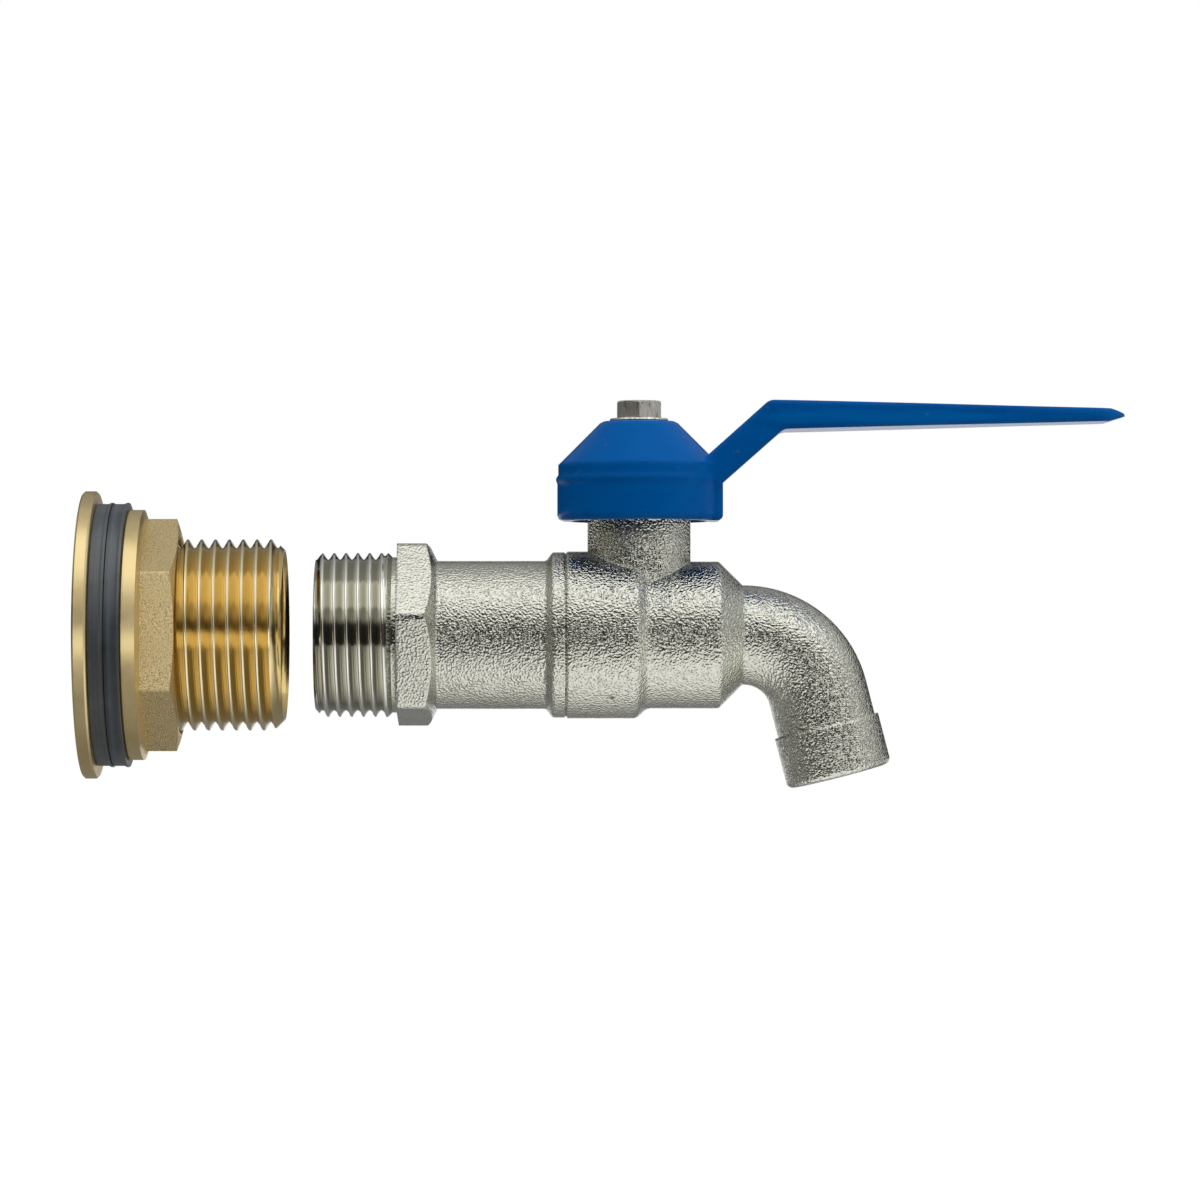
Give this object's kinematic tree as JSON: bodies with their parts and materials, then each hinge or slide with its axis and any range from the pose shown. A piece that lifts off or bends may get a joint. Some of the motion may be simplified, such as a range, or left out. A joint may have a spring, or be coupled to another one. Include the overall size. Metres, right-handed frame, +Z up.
{
  "type": "water butt tap",
  "caption": "Lever ball tap with a downturned spout and a flanged tank connector with rubber washers and a backnut, for draining a rainwater butt.",
  "frame": {"origin": "on the pipe's axis, at the face of the connector's flange that the inner washer sits on", "axes": "+X along the water's way from the butt to the spout, +Z up along the stem"},
  "size_m": [0.1671, 0.0462, 0.0622],
  "materials": {
    "turned_brass": "satin, turned",
    "black_rubber": "matt",
    "nickelled_brass": "nickel plated over a blasted casting",
    "white_ptfe": "smooth",
    "chromed_ball": "polished",
    "plain_brass": "machined",
    "blue_enamel": "gloss",
    "zinc_steel": "worn zinc"
  },
  "bodies": {
    "connector": {"flanged_tail": "turned_brass", "inner_rubber_washer": "black_rubber"},
    "clamp_washer": {"outer_rubber_washer": "black_rubber"},
    "backnut": {"backnut": "turned_brass"},
    "tap": {"inlet_adapter": "nickelled_brass", "valve_body": "nickelled_brass", "joint_seal": "white_ptfe", "inlet_seat": "white_ptfe", "outlet_seat": "white_ptfe", "thrust_washer": "white_ptfe", "lower_packing": "white_ptfe", "upper_packing": "white_ptfe", "gland_nut": "plain_brass"},
    "lever": {"lever_handle": "blue_enamel", "dished_washer": "zinc_steel", "handle_screw": "zinc_steel", "stem": "plain_brass", "ball": "chromed_ball"}
  },
  "joints": [
    {"name": "clamp_travel", "type": "slide", "parent": "connector", "child": "clamp_washer", "axis": [1, 0, 0], "range_m": [0, 0.016]},
    {"name": "nut_turn", "type": "hinge", "parent": "clamp_washer", "child": "backnut", "pos_m": [0.009, 0, 0], "axis": [1, 0, 0], "range_deg": [0, 2588]},
    {"name": "tap_screws_in", "type": "slide", "parent": "connector", "child": "tap", "axis": [1, 0, 0], "range_m": [-0.018, 0]},
    {"name": "lever_turn", "type": "hinge", "parent": "tap", "child": "lever", "pos_m": [0.08688, 0, 0.03], "axis": [0, 0, 1], "range_deg": [-90, 0]}
  ],
  "couplings": [
    {"joint": "clamp_travel", "follows": "nut_turn", "m_per_rad": 0.00035412}
  ]
}
